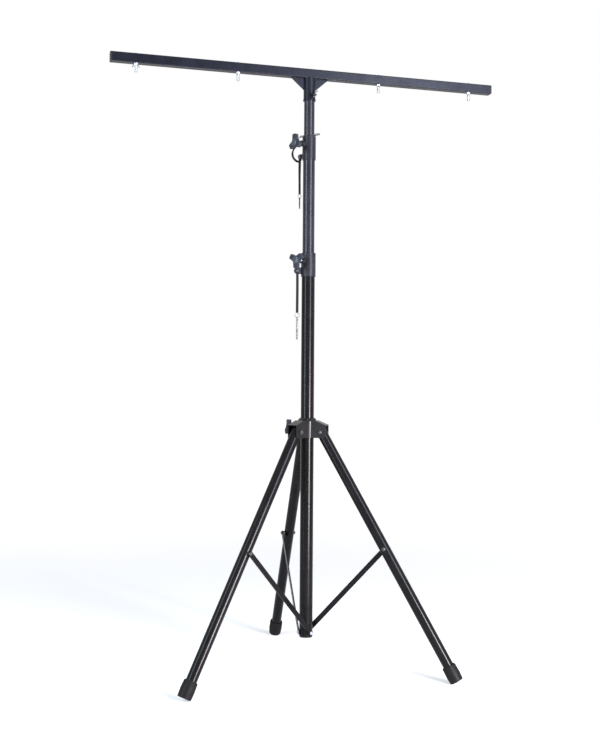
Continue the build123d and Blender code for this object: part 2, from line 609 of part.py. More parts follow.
# ---- hub, legs and braces ----
def build_hub():
    bore = MAIN_RADIUS + RUNNING_FIT
    sleeve = pipe(HUB_SLEEVE_RADIUS, bore, HUB_BOTTOM, HUB_SHELL_TOP)
    clamp = radial(HUB_CLAMP_AZIMUTH, HUB_CLAMP_Z)
    shell_outer = HUB_SLEEVE_RADIUS + HUB_SHELL_THICKNESS
    boss_end = shell_outer + CLAMP_BOSS_LENGTH
    stud_hole = clamp * rod(CLAMP_STUD_RADIUS, 0, boss_end + 1)
    save("hub_sleeve", sleeve - stud_hole)

    cap = Pos(0, 0, HUB_SHELL_TOP + HUB_COLLAR_HEIGHT / 2) * Cone(
        HUB_COLLAR_FLARE_RADIUS, HUB_COLLAR_TOP_RADIUS, HUB_COLLAR_HEIGHT
    )
    half = HUB_CHANNEL + HUB_SHELL_THICKNESS
    for azimuth in LEG_AZIMUTHS.values():
        profile = Polyline(
            (0, HUB_SHELL_TOP),
            (HUB_COLLAR_FLARE_RADIUS, HUB_SHELL_TOP),
            (HUB_REACH, HUB_SHELL_TOP - HUB_COVER_DROP),
            (HUB_REACH, HUB_SHELL_TOP - HUB_COVER_DROP + HUB_COVER_THICKNESS),
            (HUB_COLLAR_FLARE_RADIUS, HUB_SHELL_TOP + HUB_COVER_THICKNESS),
            (0, HUB_SHELL_TOP + HUB_COVER_THICKNESS),
            close=True,
        )
        cap += around(azimuth) * extrude(make_face(profile), half, both=True)
    cap -= rod(bore, HUB_BOTTOM, HUB_TOP + 1)
    save("hub_cap", cap)

    for name, leg in (("front", "left"), ("right", "right"), ("left", "rear")):
        azimuth = LEG_AZIMUTHS[leg] + LEG_STEP / 2
        save(f"hub_shell_{name}", hub_shell(azimuth, stud_hole, boss_end if name == "left" else 0))
    build_clamp("hub", clamp, MAIN_RADIUS, boss_end)
    save("leg_pivot_bolts", *[leg_pivot_bolt(a) for a in LEG_AZIMUTHS.values()])


def hub_shell(azimuth, stud_hole, boss_end):
    """A pressed shell that wraps the sleeve between two legs, with a cheek beside each leg."""
    inner = HUB_SLEEVE_RADIUS
    half_step = LEG_STEP / 2
    root = HUB_REACH / 5
    far = 3 * HUB_REACH
    edge_x = far * math.cos(math.radians(half_step))
    edge_y = far * math.sin(math.radians(half_step))
    plan = Circle(inner + HUB_SHELL_THICKNESS) - Circle(inner)
    wedge = make_face(Polyline((0, 0), (edge_x, -edge_y), (far, 0), (edge_x, edge_y), close=True))
    for side in (-1, 1):
        turn = Rot(0, 0, side * half_step)
        cheek = Pos((root + HUB_REACH) / 2, -side * (HUB_CHANNEL + HUB_SHELL_THICKNESS / 2))
        plan += turn * (cheek * Rectangle(HUB_REACH - root, HUB_SHELL_THICKNESS))
        wedge -= turn * (Pos(HUB_REACH, 0) * Rectangle(2 * HUB_REACH, 2 * HUB_CHANNEL))
    shell = Pos(0, 0, HUB_BOTTOM) * extrude((plan & wedge) - Circle(inner), HUB_SHELL_HEIGHT)
    beyond = HUB_REACH + 5
    slope = HUB_COVER_DROP / (HUB_REACH - HUB_COLLAR_FLARE_RADIUS)
    roof = make_face(
        Polyline(
            (HUB_COLLAR_FLARE_RADIUS, HUB_SHELL_TOP),
            (beyond, HUB_SHELL_TOP - slope * (beyond - HUB_COLLAR_FLARE_RADIUS)),
            (beyond, HUB_SHELL_TOP + 5),
            (HUB_COLLAR_FLARE_RADIUS, HUB_SHELL_TOP + 5),
            close=True,
        )
    )
    for side in (-1, 1):
        shell -= around(side * half_step) * extrude(roof, 2 * HUB_CHANNEL, both=True)
        pivot = around(side * half_step, LEG_PIVOT_Z, LEG_PIVOT_REACH)
        shell -= pivot * Cylinder(LEG_PIVOT_RADIUS, 6 * HUB_CHANNEL)
    shell = Rot(0, 0, azimuth) * shell
    if boss_end:
        boss = radial(azimuth, HUB_CLAMP_Z) * rod(CLAMP_BOSS_RADIUS, HUB_SLEEVE_RADIUS + 0.5, boss_end)
        shell += boss - rod(HUB_SLEEVE_RADIUS, HUB_BOTTOM, HUB_TOP)
        shell -= stud_hole
    return shell


def leg_pivot_bolt(azimuth):
    half = HUB_CHANNEL + HUB_SHELL_THICKNESS
    bolt = rod(LEG_PIVOT_RADIUS, -half - LEG_PIVOT_NUT_HEIGHT - 1, half + 0.1)
    bolt += dome(LEG_PIVOT_RADIUS + LEG_PIVOT_HEAD_RIM, LEG_PIVOT_HEAD_HEIGHT, half)
    hexagon = RegularPolygon(LEG_PIVOT_RADIUS + LEG_PIVOT_NUT_RIM, 6)
    bolt += Pos(0, 0, -half) * extrude(hexagon, -LEG_PIVOT_NUT_HEIGHT)
    return around(azimuth, LEG_PIVOT_Z, LEG_PIVOT_REACH) * bolt


def leg_frame(azimuth):
    """On a standing leg: X runs down the leg from its pivot, Z runs clockwise round the mast."""
    return around(azimuth, LEG_PIVOT_Z, LEG_PIVOT_REACH) * Rot(0, 0, LEG_SPREAD - 90)


def build_legs():
    brace_in = BRACE_OFFSET - BRACE_THICKNESS / 2
    spacer_end = brace_in - FOLD_SLOP
    for name, azimuth in LEG_AZIMUTHS.items():
        place = leg_frame(azimuth)
        along = place * Rot(0, 90, 0)
        tube = pipe(LEG_RADIUS, LEG_RADIUS - LEG_WALL, -LEG_ABOVE_PIVOT, LEG_LENGTH - FOOT_SOLE)
        across = Rot(0, 90, 0)
        tube -= across * Cylinder(LEG_PIVOT_RADIUS + RUNNING_FIT, 3 * LEG_RADIUS)
        tube -= Pos(0, 0, LEG_BRACE_POINT) * across * Cylinder(BRACE_BOLT_RADIUS, 3 * LEG_RADIUS)
        save(f"leg_{name}", along * tube)

        foot = revolve(
            Plane.XZ
            * make_face(
                Polyline(
                    (0, LEG_LENGTH - FOOT_SOLE),
                    (LEG_RADIUS, LEG_LENGTH - FOOT_SOLE),
                    (LEG_RADIUS, LEG_LENGTH - FOOT_LENGTH),
                    (FOOT_RADIUS - 1, LEG_LENGTH - FOOT_LENGTH),
                    (FOOT_RADIUS, LEG_LENGTH - FOOT_LENGTH + FOOT_MOUTH),
                    (FOOT_BULGE_RADIUS, LEG_LENGTH - FOOT_LENGTH * FOOT_BULGE_PLACE),
                    (FOOT_RADIUS, LEG_LENGTH),
                    (0, LEG_LENGTH),
                    close=True,
                )
            ),
            Axis.Z,
        )
        save(f"foot_{name}", along * foot)

        bolt = place * Pos(LEG_BRACE_POINT, 0, 0)
        shank = rod(BRACE_BOLT_RADIUS, -spacer_end, LEG_RADIUS)
        seat = LEG_RADIUS + BRACE_HEAD_SEAT
        head = dome(BRACE_HEAD_RADIUS, BRACE_HEAD_HEIGHT, seat)
        collar = rod(BRACE_HEAD_RADIUS, LEG_RADIUS - BRACE_END_BITE, seat)
        spacer = rod(BRACE_HEAD_RADIUS, -spacer_end, BRACE_END_BITE - LEG_RADIUS)
        ends = (collar + spacer) - Rot(0, 90, 0) * Cylinder(LEG_RADIUS, 4 * BRACE_HEAD_RADIUS)
        save(f"brace_bolt_{name}", bolt * (shank + head + ends))
        build_brace(name, azimuth)


def brace_ends(azimuth):
    base = radial(azimuth + 90, BRACE_BASE_Z, BRACE_OFFSET)
    spread = math.radians(LEG_SPREAD)
    reach = LEG_PIVOT_REACH + LEG_BRACE_POINT * math.sin(spread)
    rise = LEG_PIVOT_Z - LEG_BRACE_POINT * math.cos(spread) - BRACE_BASE_Z
    return base, reach, rise


def build_brace(name, azimuth):
    """A flat brace from the foot of the main tube to its leg, with the rivet at its leg end."""
    base, reach, rise = brace_ends(azimuth)
    length = math.hypot(reach, rise)
    # In this plane X points back along minus the leg's direction and Y is up.
    tilt = math.degrees(math.atan2(rise, -reach))
    outline = Pos(length / 2, 0) * SlotCenterToCenter(length, BRACE_WIDTH)
    outline -= Circle(BRACE_BOLT_RADIUS + RUNNING_FIT)
    outline -= Pos(length, 0) * Circle(BRACE_BOLT_RADIUS)
    half = BRACE_THICKNESS / 2
    place = base * Rot(0, 0, tilt)
    save(f"brace_{name}", place * extrude(outline, half, both=True))
    rivet = rod(BRACE_BOLT_RADIUS, -half, half + 0.5)
    rivet += dome(BRACE_HEAD_RADIUS, BRACE_HEAD_HEIGHT, half)
    save(f"brace_rivet_{name}", place * Pos(length, 0, 0) * rivet)


build_t_bar()
build_hangers()
build_upper_mast()
build_mid_mast()
build_main_mast()
build_pins()
build_hub()
build_legs()
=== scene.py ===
import math

import bmesh
import bpy
from mathutils import Matrix, Vector


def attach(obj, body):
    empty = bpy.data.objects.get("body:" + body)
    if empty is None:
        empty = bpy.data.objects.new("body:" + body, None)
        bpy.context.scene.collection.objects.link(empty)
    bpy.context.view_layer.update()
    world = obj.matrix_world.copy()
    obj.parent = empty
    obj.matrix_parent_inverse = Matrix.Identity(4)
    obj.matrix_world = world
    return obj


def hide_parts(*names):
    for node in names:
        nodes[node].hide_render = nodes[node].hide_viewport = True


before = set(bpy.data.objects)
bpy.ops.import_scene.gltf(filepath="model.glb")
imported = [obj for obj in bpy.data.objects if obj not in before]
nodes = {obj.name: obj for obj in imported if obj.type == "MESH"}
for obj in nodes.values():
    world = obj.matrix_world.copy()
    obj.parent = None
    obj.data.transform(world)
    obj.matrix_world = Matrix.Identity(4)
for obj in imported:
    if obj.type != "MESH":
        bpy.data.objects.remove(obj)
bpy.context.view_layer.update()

scene = bpy.context.scene
scene.view_settings.view_transform = "Standard"

# ---- camera ----
# Degrees and metres. The azimuth is measured from the front, -Y, and yaw turns away from the mast.
CAMERA_AZIMUTH = -15.963
CAMERA_DISTANCE = 3.1283
CAMERA_HEIGHT = 0.8780
CAMERA_YAW = 0.4213
CAMERA_PITCH = 0.3427
CAMERA_ROLL = 0.3862
CAMERA_LENS = 61.79
SENSOR_WIDTH = 36.0


def place_camera():
    """The camera stands beside the mast and looks at it, then turns by its yaw, pitch and roll."""
    stand = math.radians(CAMERA_AZIMUTH)
    yaw = math.radians(CAMERA_AZIMUTH + CAMERA_YAW)
    pitch = math.radians(CAMERA_PITCH)
    roll = math.radians(CAMERA_ROLL)
    level = math.cos(pitch)
    ahead = Vector((-math.sin(yaw) * level, math.cos(yaw) * level, math.sin(pitch)))
    right = ahead.cross(Vector((0, 0, 1))).normalized()
    up = right.cross(ahead)
    tilted_right = right * math.cos(roll) + up * math.sin(roll)
    tilted_up = tilted_right.cross(ahead)
    turn = Matrix((tilted_right, tilted_up, -ahead)).transposed()
    data = bpy.data.cameras.new("camera")
    data.lens = CAMERA_LENS
    data.sensor_width = SENSOR_WIDTH
    data.sensor_fit = "HORIZONTAL"
    camera = bpy.data.objects.new("camera", data)
    x, y = CAMERA_DISTANCE * math.sin(stand), -CAMERA_DISTANCE * math.cos(stand)
    spot = Vector((x, y, CAMERA_HEIGHT))
    camera.matrix_world = Matrix.Translation(spot) @ turn.to_4x4()
    scene.collection.objects.link(camera)
    scene.camera = camera


place_camera()


# ---- shared finish groups ----
RIB_WAVE = 6.2832
WARP_WAVE = 12.566
DUST_COLOUR = (0.42, 0.40, 0.38)
DUST_ROUGHNESS = 0.6


def new_group(name, inputs, outputs):
    tree = bpy.data.node_groups.new(name, "ShaderNodeTree")
    for label, kind, default in inputs:
        socket = tree.interface.new_socket(name=label, in_out="INPUT", socket_type=kind)
        if default is not None:
            socket.default_value = default
    for label, kind in outputs:
        tree.interface.new_socket(name=label, in_out="OUTPUT", socket_type=kind)
    entry = tree.nodes.new("NodeGroupInput")
    leave = tree.nodes.new("NodeGroupOutput")
    return tree, entry, leave


def math_node(tree, operation, first, second=None, clamp=False):
    node = tree.nodes.new("ShaderNodeMath")
    node.operation = operation
    node.use_clamp = clamp
    for socket, value in zip(node.inputs, (first, second)):
        if value is None:
            continue
        if isinstance(value, (int, float)):
            socket.default_value = value
        else:
            tree.links.new(value, socket)
    return node.outputs[0]


def noise_node(tree, vector, scale, detail=2.0, roughness=0.5):
    node = tree.nodes.new("ShaderNodeTexNoise")
    tree.links.new(vector, node.inputs["Vector"])
    if isinstance(scale, (int, float)):
        node.inputs["Scale"].default_value = scale
    else:
        tree.links.new(scale, node.inputs["Scale"])
    node.inputs["Detail"].default_value = detail
    node.inputs["Roughness"].default_value = roughness
    return node.outputs["Fac"]


def ramp_node(tree, value, low, high, to_low=0.0, to_high=1.0):
    node = tree.nodes.new("ShaderNodeMapRange")
    node.interpolation_type = "SMOOTHSTEP"
    tree.links.new(value, node.inputs["Value"])
    node.inputs["From Min"].default_value = low
    node.inputs["From Max"].default_value = high
    node.inputs["To Min"].default_value = to_low
    node.inputs["To Max"].default_value = to_high
    return node.outputs["Result"]


def make_coat_skin():
    """Fine grain of a sprayed or moulded surface, with slow patches of sheen."""
    tree, entry, leave = new_group(
        "Coat Skin",
        (("Vector", "NodeSocketVector", None), ("Grain Scale", "NodeSocketFloat", 900.0),
         ("Patch Scale", "NodeSocketFloat", 22.0)),
        (("Height", "NodeSocketFloat"), ("Patches", "NodeSocketFloat")),
    )
    grain = noise_node(tree, entry.outputs["Vector"], entry.outputs["Grain Scale"], 3.0, 0.55)
    patches = noise_node(tree, entry.outputs["Vector"], entry.outputs["Patch Scale"], 4.0, 0.6)
    tree.links.new(grain, leave.inputs["Height"])
    tree.links.new(ramp_node(tree, patches, 0.3, 0.7), leave.inputs["Patches"])
    return tree


def make_handling_wear():
    """Thin scratches and rubbed spots that handling leaves."""
    tree, entry, leave = new_group(
        "Handling Wear",
        (("Vector", "NodeSocketVector", None),
         ("Stretch", "NodeSocketVector", (60.0, 60.0, 900.0)),
         ("Amount", "NodeSocketFloat", 0.2)),
        (("Mask", "NodeSocketFloat"),),
    )
    stretch = tree.nodes.new("ShaderNodeVectorMath")
    stretch.operation = "MULTIPLY"
    tree.links.new(entry.outputs["Vector"], stretch.inputs[0])
    tree.links.new(entry.outputs["Stretch"], stretch.inputs[1])
    where = entry.outputs["Vector"]
    scratch = ramp_node(tree, noise_node(tree, stretch.outputs[0], 1.0, 2.0, 0.6), 0.66, 0.74)
    spots = ramp_node(tree, noise_node(tree, where, 34.0, 4.0, 0.65), 0.52, 0.68)
    both = math_node(tree, "MULTIPLY", scratch, spots)
    flecks = ramp_node(tree, noise_node(tree, where, 260.0, 3.0, 0.7), 0.7, 0.76)
    total = math_node(tree, "ADD", both, math_node(tree, "MULTIPLY", flecks, 0.6), True)
    mask = math_node(tree, "MULTIPLY", total, entry.outputs["Amount"], True)
    tree.links.new(mask, leave.inputs["Mask"])
    return tree


def make_settled_dust():
    """Pale dust on faces that look upwards."""
    tree, entry, leave = new_group(
        "Settled Dust",
        (("Vector", "NodeSocketVector", None), ("Amount", "NodeSocketFloat", 0.1)),
        (("Mask", "NodeSocketFloat"),),
    )
    geometry = tree.nodes.new("ShaderNodeNewGeometry")
    split = tree.nodes.new("ShaderNodeSeparateXYZ")
    tree.links.new(geometry.outputs["Normal"], split.inputs[0])
    upward = ramp_node(tree, split.outputs["Z"], 0.35, 1.0)
    cloud = ramp_node(tree, noise_node(tree, entry.outputs["Vector"], 70.0, 5.0, 0.7), 0.35, 0.75)
    lying = math_node(tree, "MULTIPLY", upward, cloud)
    mask = math_node(tree, "MULTIPLY", lying, entry.outputs["Amount"], True)
    tree.links.new(mask, leave.inputs["Mask"])
    return tree


def make_web_weave():
    """Diagonal twill of narrow webbing, along the strap's own length and width, with painted shade
    in its grooves.
    """
    tree, entry, leave = new_group(
        "Web Weave",
        (("Vector", "NodeSocketVector", None), ("Picks", "NodeSocketFloat", 900.0)),
        (("Height", "NodeSocketFloat"), ("Shade", "NodeSocketFloat")),
    )
    split = tree.nodes.new("ShaderNodeSeparateXYZ")
    tree.links.new(entry.outputs["Vector"], split.inputs[0])
    along = math_node(tree, "MULTIPLY", split.outputs["X"], entry.outputs["Picks"])
    across = math_node(tree, "MULTIPLY", split.outputs["Y"], entry.outputs["Picks"])
    lean = math_node(tree, "ADD", along, math_node(tree, "ABSOLUTE", across))
    ribs = math_node(tree, "SINE", math_node(tree, "MULTIPLY", lean, RIB_WAVE))
    warp = math_node(tree, "SINE", math_node(tree, "MULTIPLY", across, WARP_WAVE))
    height = math_node(tree, "ADD", math_node(tree, "MULTIPLY", ribs, 0.35),
                       math_node(tree, "MULTIPLY", warp, 0.15))
    height = math_node(tree, "ADD", height, 0.5)
    fuzz = noise_node(tree, entry.outputs["Vector"], 1500.0, 3.0, 0.7)
    # The shade is partly painted shade, darker where the weave's height is low in its grooves, and
    # partly random fuzz tone.
    shade = math_node(tree, "ADD", math_node(tree, "MULTIPLY", height, 0.7),
                      math_node(tree, "MULTIPLY", fuzz, 0.3), True)
    tree.links.new(height, leave.inputs["Height"])
    tree.links.new(shade, leave.inputs["Shade"])
    return tree


coat_skin = make_coat_skin()
handling_wear = make_handling_wear()
settled_dust = make_settled_dust()
web_weave = make_web_weave()


# ---- materials ----
def blank_material(name):
    made = bpy.data.materials.new(name)
    made.use_nodes = True
    shader = made.node_tree.nodes["Principled BSDF"]
    return made, made.node_tree, shader


def put_group(tree, group, vector, **values):
    node = tree.nodes.new("ShaderNodeGroup")
    node.node_tree = group
    tree.links.new(vector, node.inputs["Vector"])
    for label, value in values.items():
        node.inputs[label.replace("_", " ")].default_value = value
    return node


def mix_colours(tree, factor, first, second):
    node = tree.nodes.new("ShaderNodeMix")
    node.data_type = "RGBA"
    node.blend_type = "MIX"
    tree.links.new(factor, node.inputs["Factor"])
    for label, value in (("A", first), ("B", second)):
        socket = [s for s in node.inputs if s.name == label and s.type == "RGBA"][0]
        if isinstance(value, tuple):
            socket.default_value = (*value, 1.0)
        else:
            tree.links.new(value, socket)
    return [s for s in node.outputs if s.type == "RGBA"][0]


def solid_finish(name, deep, light, worn, smooth, rough, metallic=0.0, grain=900.0, depth=0.00002,
                 wear=0.2, stretch=(60.0, 60.0, 900.0), dust=0.08, specular=0.3, patch=22.0):
    """A hard finish: two close tones in patches, worn marks, a little dust and a fine grain."""
    made, tree, shader = blank_material(name)
    where = tree.nodes.new("ShaderNodeTexCoord").outputs["Object"]
    skin = put_group(tree, coat_skin, where, Grain_Scale=grain, Patch_Scale=patch)
    marks = put_group(tree, handling_wear, where, Stretch=stretch, Amount=wear)
    settled = put_group(tree, settled_dust, where, Amount=dust)
    tone = mix_colours(tree, skin.outputs["Patches"], deep, light)
    tone = mix_colours(tree, marks.outputs["Mask"], tone, worn)
    tone = mix_colours(tree, settled.outputs["Mask"], tone, DUST_COLOUR)
    tree.links.new(tone, shader.inputs["Base Color"])
    sheen_range = ramp_node(tree, skin.outputs["Patches"], 0.0, 1.0, smooth, rough)
    roughness = math_node(tree, "ADD", sheen_range,
                          math_node(tree, "MULTIPLY", settled.outputs["Mask"], DUST_ROUGHNESS),
                          True)
    tree.links.new(roughness, shader.inputs["Roughness"])
    shader.inputs["Metallic"].default_value = metallic
    shader.inputs["Specular IOR Level"].default_value = specular
    bump = tree.nodes.new("ShaderNodeBump")
    bump.inputs["Strength"].default_value = 1.0
    bump.inputs["Distance"].default_value = depth
    tree.links.new(skin.outputs["Height"], bump.inputs["Height"])
    tree.links.new(bump.outputs["Normal"], shader.inputs["Normal"])
    return made


upper_coat = solid_finish("upper_powder_coat", (0.008, 0.008, 0.012), (0.012, 0.012, 0.017),
                          (0.08, 0.08, 0.09), 0.24, 0.30, stretch=(900.0, 900.0, 30.0), wear=0.18,
                          depth=0.0000012, specular=0.26)
lower_coat = solid_finish("lower_powder_coat", (0.0030, 0.0027, 0.0029), (0.0048, 0.0044, 0.0046),
                          (0.09, 0.09, 0.09), 0.18, 0.23, stretch=(900.0, 900.0, 30.0), wear=0.18,
                          depth=0.0000012, specular=0.12, dust=0.02)
bar_coat = solid_finish("bar_powder_coat", (0.0045, 0.005, 0.009), (0.0065, 0.0075, 0.013),
                        (0.10, 0.10, 0.11), 0.30, 0.37, stretch=(30.0, 900.0, 900.0), wear=0.3,
                        depth=0.0000025, specular=0.14)
cast_coat = solid_finish("collar_coat", (0.009, 0.009, 0.012), (0.014, 0.014, 0.018),
                         (0.09, 0.09, 0.10), 0.32, 0.42, grain=700.0, depth=0.000006, wear=0.25,
                         specular=0.2)
hub_coat = solid_finish("hub_coat", (0.0045, 0.0042, 0.0042), (0.008, 0.0072, 0.0072),
                        (0.12, 0.11, 0.11), 0.24, 0.32, wear=0.3, depth=0.000004, specular=0.2)
knob_plastic = solid_finish("knob_plastic", (0.016, 0.018, 0.025), (0.023, 0.026, 0.034),
                            (0.08, 0.09, 0.10), 0.42, 0.55, grain=1600.0, depth=0.00002, wear=0.1,
                            dust=0.03, specular=0.2)
cap_plastic = solid_finish("knob_cap_plastic", (0.032, 0.039, 0.048), (0.042, 0.050, 0.060),
                           (0.18, 0.20, 0.22), 0.30, 0.42, grain=1600.0, depth=0.00003, wear=0.1)
black_plastic = solid_finish("moulded_black_plastic", (0.012, 0.012, 0.013), (0.018, 0.018, 0.019),
                             (0.06, 0.06, 0.06), 0.45, 0.6, grain=1400.0, depth=0.00006, wear=0.12)
bush_plastic = solid_finish("bush_plastic", (0.02, 0.02, 0.02), (0.03, 0.03, 0.03),
                            (0.08, 0.08, 0.08), 0.5, 0.6, grain=1400.0, depth=0.00004, wear=0.1)
zinc = solid_finish("bright_zinc", (0.30, 0.33, 0.38), (0.44, 0.48, 0.54), (0.20, 0.21, 0.22),
                    0.24, 0.40, metallic=1.0, grain=1800.0, depth=0.00003, wear=0.35, dust=0.1,
                    patch=140.0)
black_steel = solid_finish("blackened_steel", (0.022, 0.022, 0.024), (0.036, 0.036, 0.040),
                           (0.35, 0.35, 0.36), 0.24, 0.34, metallic=0.2, grain=1600.0, wear=0.3,
                           specular=0.5)
pin_steel = solid_finish("bright_pin_steel", (0.09, 0.088, 0.088), (0.15, 0.146, 0.146),
                         (0.14, 0.14, 0.14), 0.16, 0.28, metallic=1.0, grain=2000.0, depth=0.00002,
                         wear=0.4, dust=0.0, patch=160.0)
foot_rubber = solid_finish("foot_rubber", (0.004, 0.0038, 0.0036), (0.007, 0.0066, 0.0062),
                           (0.04, 0.037, 0.034), 0.5, 0.65, grain=1200.0, depth=0.00004, wear=0.4,
                           dust=0.03, specular=0.12)
weld_metal = solid_finish("painted_weld", (0.020, 0.021, 0.026), (0.030, 0.031, 0.037),
                          (0.12, 0.12, 0.12), 0.36, 0.48, grain=900.0, depth=0.00008, wear=0.2)


def webbing(name, deep, light):
    """Woven strap: the weave follows the strap's own UV map."""
    made, tree, shader = blank_material(name)
    uv = tree.nodes.new("ShaderNodeUVMap")
    uv.uv_map = "strap"
    weave = put_group(tree, web_weave, uv.outputs["UV"], Picks=700.0)
    # The strap's colour is mixed by the weave's shade: painted shade in its grooves, with random
    # fuzz tone.
    tone = mix_colours(tree, weave.outputs["Shade"], deep, light)
    tree.links.new(tone, shader.inputs["Base Color"])
    roughness = ramp_node(tree, weave.outputs["Shade"], 0.0, 1.0, 0.9, 0.62)
    tree.links.new(roughness, shader.inputs["Roughness"])
    shader.inputs["Specular IOR Level"].default_value = 0.12
    shader.inputs["Sheen Weight"].default_value = 0.04
    shader.inputs["Sheen Roughness"].default_value = 0.5
    bump = tree.nodes.new("ShaderNodeBump")
    bump.inputs["Distance"].default_value = 0.00025
    tree.links.new(weave.outputs["Height"], bump.inputs["Height"])
    tree.links.new(bump.outputs["Normal"], shader.inputs["Normal"])
    return made


strap_webbing = webbing("black_webbing", (0.004, 0.004, 0.005), (0.016, 0.016, 0.018))

FINISHES = {
    upper_coat: ("upper_tube", "mid_tube"),
    lower_coat: ("main_tube", "leg_left", "leg_right", "leg_rear",
                 "brace_left", "brace_right", "brace_rear"),
    bar_coat: ("t_bar_tube", "t_bar_sleeve", "t_bar_gussets"),
    cast_coat: ("main_collar", "mid_collar"),
    hub_coat: ("hub_cap", "hub_shell_front", "hub_shell_right", "hub_shell_left"),
    knob_plastic: ("main_clamp_knob", "mid_clamp_knob", "hub_clamp_knob"),
    black_plastic: ("base_plug", "t_bar_end_caps", "upper_tube_cap"),
    bush_plastic: ("main_collar_bush", "mid_collar_bush", "mid_guide_ring", "upper_guide_ring",
                   "main_clamp_pad", "mid_clamp_pad", "hub_clamp_pad", "hub_sleeve"),
    zinc: ("hanger_bolts", "wing_nut_1", "wing_nut_2", "wing_nut_3", "wing_nut_4",
           "main_clamp_stud", "mid_clamp_stud", "hub_clamp_stud", "brace_base_bolts"),
    black_steel: ("thumb_screw", "leg_pivot_bolts", "main_strap_bolt", "mid_strap_bolt",
                  "brace_bolt_left", "brace_bolt_right", "brace_bolt_rear",
                  "brace_rivet_left", "brace_rivet_right", "brace_rivet_rear"),
    pin_steel: ("safety_pin", "main_spare_pin", "mid_spare_pin"),
    foot_rubber: ("foot_left", "foot_right", "foot_rear"),
}
for finish, names in FINISHES.items():
    for name in names:
        piece = nodes[name]
        for holder in piece.material_slots:
            holder.material = finish
        if not piece.material_slots:
            piece.data.materials.append(finish)


# ---- mesh helpers ----
UP = Vector((0, 0, 1))
DOUBLES_DISTANCE = 1e-6
LATHE_STEPS = 48


def out_of(azimuth):
    """The level direction away from the mast at an azimuth."""
    a = math.radians(azimuth)
    return Vector((math.cos(a), math.sin(a), 0))


def radial(azimuth, z, reach):
    """On the mast: Z points outwards, X runs round the mast anticlockwise and Y is up."""
    out = out_of(azimuth)
    turn = Matrix((UP.cross(out), UP, out)).transposed().to_4x4()
    return Matrix.Translation(out * reach + UP * z) @ turn


def around(azimuth, z, reach):
    """Beside the mast: X points outwards, Y is up and Z runs clockwise."""
    out = out_of(azimuth)
    turn = Matrix((out, UP, out.cross(UP))).transposed().to_4x4()
    return Matrix.Translation(out * reach + UP * z) @ turn


def add_mesh(name, points, faces, material, smooth=True):
    """A new mesh object at the origin, with one material."""
    data = bpy.data.meshes.new(name)
    data.from_pydata(points, [], faces)
    data.materials.append(material)
    if smooth:
        data.polygons.foreach_set("use_smooth", [True] * len(data.polygons))
    piece = bpy.data.objects.new(name, data)
    scene.collection.objects.link(piece)
    return piece


def outward(piece, merge=True):
    """Points every face outwards, and merges doubles unless the order of points has to stay."""
    work = bmesh.new()
    work.from_mesh(piece.data)
    if merge:
        bmesh.ops.remove_doubles(work, verts=work.verts, dist=DOUBLES_DISTANCE)
    bmesh.ops.recalc_face_normals(work, faces=work.faces)
    work.to_mesh(piece.data)
    work.free()
    return piece


def lathe(name, profile, place, material, steps=LATHE_STEPS):
    """A closed solid of revolution about Z: profile is (radius, height) from axis to axis."""
    points, faces = [], []
    for radius, height in profile:
        for i in range(steps):
            a = 2 * math.pi * i / steps
            points.append(place @ Vector((radius * math.cos(a), radius * math.sin(a), height)))
    for row in range(len(profile) - 1):
        low, high = row * steps, (row + 1) * steps
        for i in range(steps):
            j = (i + 1) % steps
            faces.append((low + i, low + j, high + j, high + i))
    return outward(add_mesh(name, points, faces, material))


def settle(piece, body):
    """Rides the piece on a body."""
    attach(piece, body)
    return piece


# ---- straps ----
STRAP_THICKNESS = 0.0016
STRAP_WIDTH = 0.008
TETHER_WIDTH = 0.0065
EAR_TO_STRAP_TOP = 0.0034
CORNERS = 8
# A strap turns to its second direction after the first share of its length, over the next.
TWIST_START, TWIST_SPAN = 0.25, 0.35
# Each ear's azimuth, the height of its bolt and the bolt's distance from the mast's axis.
MAIN_EAR = (176.5, 1.213, 0.0345)
MID_EAR = (139.5, 1.563, 0.0295)
MAIN_EAR_THICKNESS, MID_EAR_THICKNESS = 0.005, 0.004
MAIN_STRAP_LENGTH, MID_STRAP_LENGTH = 0.124, 0.112
# A hanging strap's bow off its ear's face, and the share of its length where it has it.
STRAP_BOW = ((0, 0), (0.0006, -0.15), (0.0014, -0.4), (0.0010, -0.62), (0.0002, -0.85), (0, -1))
# The tether's route from the safety pin's ring to the ear: out, side and up from the ear's bolt.
TETHER_ROUTE = (
    (-0.0001, -0.0028, 0.0459),
    (0.0099, -0.0045, 0.0380),
    (0.0214, -0.0019, 0.0280),
    (0.0270, 0.0009, 0.0140),
    (0.0244, 0.0000, -0.0005),
    (0.0157, -0.0028, -0.0110),
    (0.0059, -0.0053, -0.0145),
    (0.0006, -0.0063, -0.0070),
    (0.0000, -0.0062, 0.0030),
)


def smooth_line(points):
    """Points read along a NURBS spline through the route's control points."""
    curve = bpy.data.curves.new("route", "CURVE")
    curve.dimensions = "3D"
    spline = curve.splines.new("NURBS")
    spline.points.add(len(points) - 1)
    for held, point in zip(spline.points, points):
        held.co = (*point, 1.0)
    spline.order_u = 3
    spline.use_endpoint_u = True
    curve.resolution_u = 12
    holder = bpy.data.objects.new("route", curve)
    scene.collection.objects.link(holder)
    data = bpy.data.meshes.new_from_object(holder)
    line = [v.co.copy() for v in data.vertices]
    bpy.data.objects.remove(holder)
    bpy.data.curves.remove(curve)
    bpy.data.meshes.remove(data)
    return line


